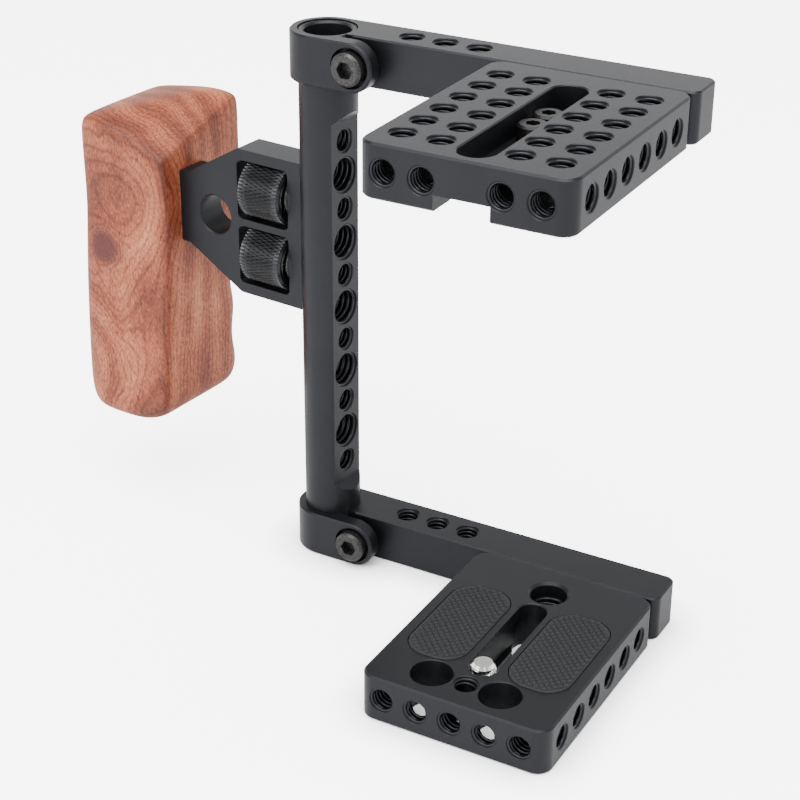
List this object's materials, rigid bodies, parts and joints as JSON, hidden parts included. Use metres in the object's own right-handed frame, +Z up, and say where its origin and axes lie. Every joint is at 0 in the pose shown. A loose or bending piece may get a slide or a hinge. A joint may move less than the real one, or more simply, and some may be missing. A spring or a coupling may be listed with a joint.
{
  "type": "camera cage",
  "caption": "Open camera cage: an upright rod, split-clamp arms, drilled top and base plates, and a wooden side grip on a bracket with knurled thumbwheels.",
  "frame": {"origin": "on the axis of the upright rod, level with the underside of the base plate, the bottom arm and the rod", "axes": "+X runs out along the two arms, -Y from the arms to the plates' free front edges, +Z up the rod. The handle is 5.3 degrees off the -X direction, as in the picture."},
  "size_m": [0.1773, 0.0966, 0.1465],
  "materials": {
    "black_anodised": "fine bead-blasted, black anodised",
    "black_steel": "black oxide",
    "nickel": "bright nickel plate on steel",
    "black_rubber": "matte, diamond pattern",
    "rosewood": "oiled, satin",
    "white_nylon": "matte"
  },
  "bodies": {
    "base": {"bottom_arm": "black_anodised", "base_plate": "black_anodised", "base_plate_screws": "black_steel", "left_pad": "black_rubber", "right_pad": "black_rubber"},
    "handle": {"upright_rod": "black_anodised", "grip_bracket": "black_anodised", "wood_grip": "rosewood", "grip_screws": "black_steel", "upper_wheel_washer": "nickel", "lower_wheel_washer": "nickel"},
    "top": {"top_arm": "black_anodised", "top_plate": "black_anodised", "top_plate_screws": "black_steel"},
    "top_clamp_screw": {"top_clamp_screw": "black_steel"},
    "bottom_clamp_screw": {"bottom_clamp_screw": "black_steel"},
    "shoe": {"shoe_adapter": "black_anodised", "shoe_screws": "black_steel"},
    "screw_carrier": {"camera_screw_washer": "white_nylon"},
    "camera_screw": {"camera_screw": "nickel"},
    "upper_wheel": {"upper_thumbwheel": "black_anodised", "upper_thumb_stud": "black_steel"},
    "lower_wheel": {"lower_thumbwheel": "black_anodised", "lower_thumb_stud": "black_steel"}
  },
  "joints": [
    {"name": "handle_swivel", "type": "hinge", "parent": "base", "child": "handle", "pos_m": [0, 0, 0], "axis": [0, 0, 1], "range_deg": [-90, 90]},
    {"name": "top_arm_height", "type": "slide", "parent": "base", "child": "top", "axis": [0, 0, 1], "range_m": [-0.022, 0]},
    {"name": "top_clamp_turn", "type": "hinge", "parent": "top", "child": "top_clamp_screw", "pos_m": [0.0115, -0.0065, 0.14025], "axis": [0, -1, 0], "range_deg": [0, 360]},
    {"name": "bottom_clamp_turn", "type": "hinge", "parent": "base", "child": "bottom_clamp_screw", "pos_m": [0.0115, -0.0065, 0.00625], "axis": [0, -1, 0], "range_deg": [0, 360]},
    {"name": "shoe_travel", "type": "slide", "parent": "top", "child": "shoe", "axis": [0, 1, 0], "range_m": [-0.026, 0.01]},
    {"name": "camera_screw_travel", "type": "slide", "parent": "base", "child": "screw_carrier", "axis": [0, 1, 0], "range_m": [0, 0.02]},
    {"name": "camera_screw_turn", "type": "hinge", "parent": "screw_carrier", "child": "camera_screw", "pos_m": [0.07235, -0.05035, 0.008], "axis": [0, 0, 1], "continuous": true},
    {"name": "upper_wheel_turn", "type": "hinge", "parent": "handle", "child": "upper_wheel", "pos_m": [-0.01693, 0.00157, 0.09985], "axis": [0.9957, -0.0924, 0], "continuous": true},
    {"name": "lower_wheel_turn", "type": "hinge", "parent": "handle", "child": "lower_wheel", "pos_m": [-0.01693, 0.00157, 0.08155], "axis": [0.9957, -0.0924, 0], "continuous": true}
  ]
}
